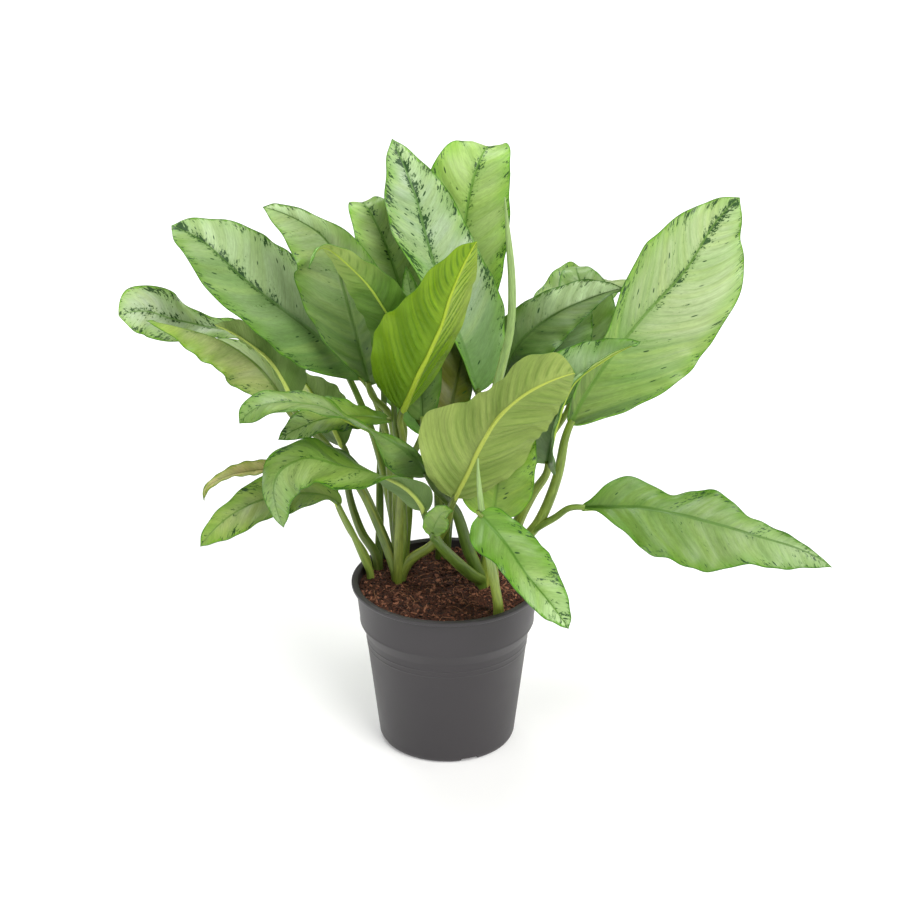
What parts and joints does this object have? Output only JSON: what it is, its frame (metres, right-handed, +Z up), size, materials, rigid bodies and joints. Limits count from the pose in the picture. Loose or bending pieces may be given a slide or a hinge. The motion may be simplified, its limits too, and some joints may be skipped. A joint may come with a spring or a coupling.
{
  "type": "potted chinese evergreen",
  "caption": "Potted chinese evergreen: broad, waved, silver-patterned leaves on fleshy stalks, growing in soil in a round tapered nursery pot.",
  "frame": {"origin": "Centre of the pot's underside, on the surface that the pot stands on.", "axes": "+Z up. +X to the right and +Y away from the viewer, as the plant stands in the picture."},
  "size_m": [0.6926, 0.4835, 0.5954],
  "materials": {
    "pot_plastic": "thin moulded nursery-pot plastic, dark grey, dull satin, faintly scuffed",
    "soil": "damp dark red-brown potting mix of bark, peat and fibre",
    "stem": "smooth fleshy green stalk, satin",
    "leaf": "thin waxy leaf, satin, silver-green with dark green margins and specks"
  },
  "bodies": {
    "root": {"pot": "pot_plastic", "soil": "soil", "stem_1": "stem", "stem_2": "stem", "stem_3": "stem", "stem_4": "stem", "stem_5": "stem", "stem_6": "stem", "stem_7": "stem", "stem_8": "stem", "stem_9": "stem", "leaf_01": "leaf", "leaf_02": "leaf", "leaf_03": "leaf", "leaf_04": "leaf", "leaf_05": "leaf", "leaf_06": "leaf", "leaf_07": "leaf", "leaf_08": "leaf", "leaf_09": "leaf", "leaf_10": "leaf", "leaf_11": "leaf", "leaf_12": "leaf", "leaf_13": "leaf", "leaf_14": "leaf", "leaf_15": "leaf", "leaf_16": "leaf", "leaf_17": "leaf", "leaf_18": "leaf", "leaf_19": "leaf", "leaf_20": "leaf", "leaf_21": "leaf", "leaf_22": "leaf", "leaf_23": "leaf", "leaf_24": "leaf", "leaf_25": "leaf", "leaf_26": "leaf", "leaf_27": "leaf", "leaf_28": "leaf", "leaf_29": "leaf", "leaf_30": "leaf", "leaf_31": "leaf", "leaf_32": "leaf", "leaf_33": "leaf"}
  },
  "joints": []
}
